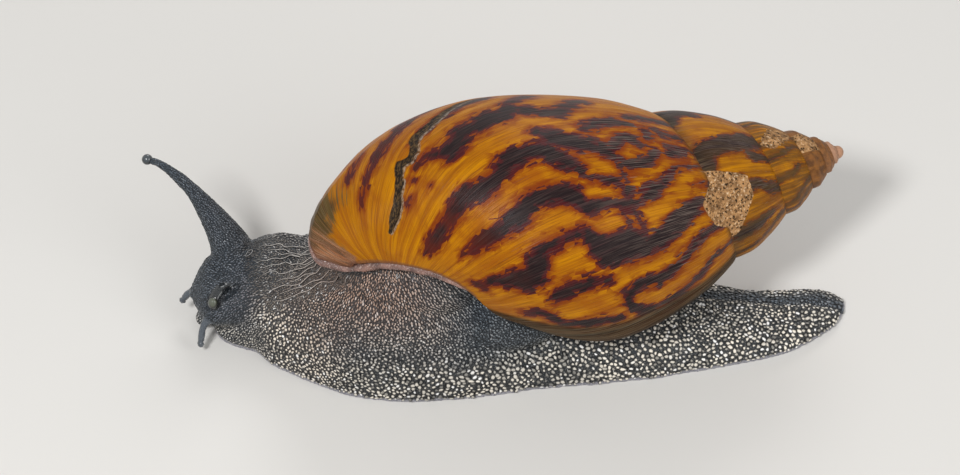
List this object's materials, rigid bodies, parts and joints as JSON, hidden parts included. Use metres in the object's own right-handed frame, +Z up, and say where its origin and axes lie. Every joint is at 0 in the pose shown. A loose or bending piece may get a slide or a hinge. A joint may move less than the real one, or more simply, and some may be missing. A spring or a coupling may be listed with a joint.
{
  "type": "giant african land snail",
  "caption": "Life-size still model of a crawling giant African land snail, its spiral shell carried on a flat-soled body, one upper tentacle out and the other drawn in.",
  "frame": {"origin": "a point on the flat sole of the foot, under the middle of the body", "axes": "+X along the body from head to tail, +Y to the animal's right, +Z up from the floor"},
  "size_m": [0.2159, 0.079, 0.0834],
  "materials": {
    "shell": "orange-yellow shell with dark chestnut flame bands along its growth lines, worn and pitted on the spire, satin gloss",
    "mantle": "smooth moist pinkish brown mantle edge",
    "flesh": "moist blue-grey skin, dark grooves between pale rounded tubercles",
    "eye": "glossy near-black eye"
  },
  "bodies": {
    "root": {"shell": "shell", "mantle_collar": "mantle", "mantle_rim": "mantle", "head": "flesh", "mouth": "flesh", "neck": "flesh", "foot_front": "flesh", "trunk": "flesh", "foot_rear": "flesh", "tail": "flesh", "tentacle_upper_right_base": "flesh", "tentacle_upper_right_tip": "flesh", "eye_right": "eye", "tentacle_upper_left": "flesh", "eye_left": "eye", "tentacle_lower_right": "flesh", "tentacle_lower_left": "flesh"}
  },
  "joints": []
}
